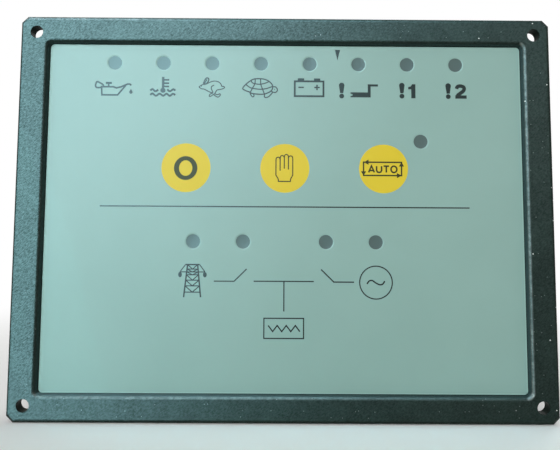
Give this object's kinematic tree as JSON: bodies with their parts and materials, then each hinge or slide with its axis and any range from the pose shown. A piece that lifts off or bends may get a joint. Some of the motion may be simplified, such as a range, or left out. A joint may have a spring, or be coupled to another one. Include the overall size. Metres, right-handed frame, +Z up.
{
  "type": "genset controller",
  "caption": "Panel-mounted generator set controller with a moulded bezel, printed membrane facia with lamp windows and keys, and a stepped rear case with plug-in headers.",
  "frame": {"origin": "centre of the four fixing holes, on the flange's rear face where it meets the panel", "axes": "+Y points back through the panel, so the facia faces -Y; +X runs along the width; +Z is up"},
  "size_m": [0.192, 0.0374, 0.144],
  "materials": {
    "bezel_plastic": "fine spark-eroded texture",
    "facia_film": "satin printed film",
    "case_plastic": "fine moulded texture",
    "board_laminate": "solder resist",
    "red_lens": "diffused tint",
    "amber_lens": "diffused tint",
    "green_lens": "diffused tint",
    "switch_plastic": "moulded",
    "cover_steel": "stamped",
    "plunger_plastic": "moulded",
    "header_plastic": "moulded",
    "pin_metal": "tinned",
    "relay_plastic": "moulded",
    "capacitor_sleeve": "shrunk sleeve",
    "chip_epoxy": "moulded epoxy",
    "crystal_can": "drawn can",
    "regulator_epoxy": "moulded epoxy",
    "screw_steel": "zinc plated"
  },
  "bodies": {
    "controller": {"front_bezel": "bezel_plastic", "facia_overlay": "facia_film", "rear_case": "case_plastic", "main_board": "board_laminate", "oil_pressure_lamp": "red_lens", "coolant_heat_lamp": "red_lens", "overspeed_lamp": "red_lens", "underspeed_lamp": "red_lens", "charge_fault_lamp": "red_lens", "start_fault_lamp": "red_lens", "spare_alarm_one_lamp": "red_lens", "spare_alarm_two_lamp": "red_lens", "auto_lamp": "red_lens", "mains_ready_lamp": "green_lens", "mains_load_lamp": "amber_lens", "generator_load_lamp": "amber_lens", "generator_ready_lamp": "green_lens", "stop_switch_base": "switch_plastic", "stop_switch_cover": "cover_steel", "manual_switch_base": "switch_plastic", "manual_switch_cover": "cover_steel", "auto_switch_base": "switch_plastic", "auto_switch_cover": "cover_steel", "supply_header": "header_plastic", "supply_pins": "pin_metal", "engine_header": "header_plastic", "engine_pins": "pin_metal", "mains_header": "header_plastic", "mains_pins": "pin_metal", "generator_header": "header_plastic", "generator_pins": "pin_metal", "fuel_relay": "relay_plastic", "start_relay": "relay_plastic", "mains_relay": "relay_plastic", "generator_relay": "relay_plastic", "reservoir_capacitor": "capacitor_sleeve", "microcontroller": "chip_epoxy", "clock_crystal": "crystal_can", "voltage_regulator": "regulator_epoxy", "case_screws": "screw_steel"},
    "stop_key": {"stop_switch_plunger": "plunger_plastic"},
    "manual_key": {"manual_switch_plunger": "plunger_plastic"},
    "auto_key": {"auto_switch_plunger": "plunger_plastic"}
  },
  "joints": [
    {"name": "stop_key_press", "type": "slide", "parent": "controller", "child": "stop_key", "axis": [0, 1, 0], "range_m": [0, 0.00025], "stiffness_N_per_m": 6400},
    {"name": "manual_key_press", "type": "slide", "parent": "controller", "child": "manual_key", "axis": [0, 1, 0], "range_m": [0, 0.00025], "stiffness_N_per_m": 6400},
    {"name": "auto_key_press", "type": "slide", "parent": "controller", "child": "auto_key", "axis": [0, 1, 0], "range_m": [0, 0.00025], "stiffness_N_per_m": 6400}
  ]
}
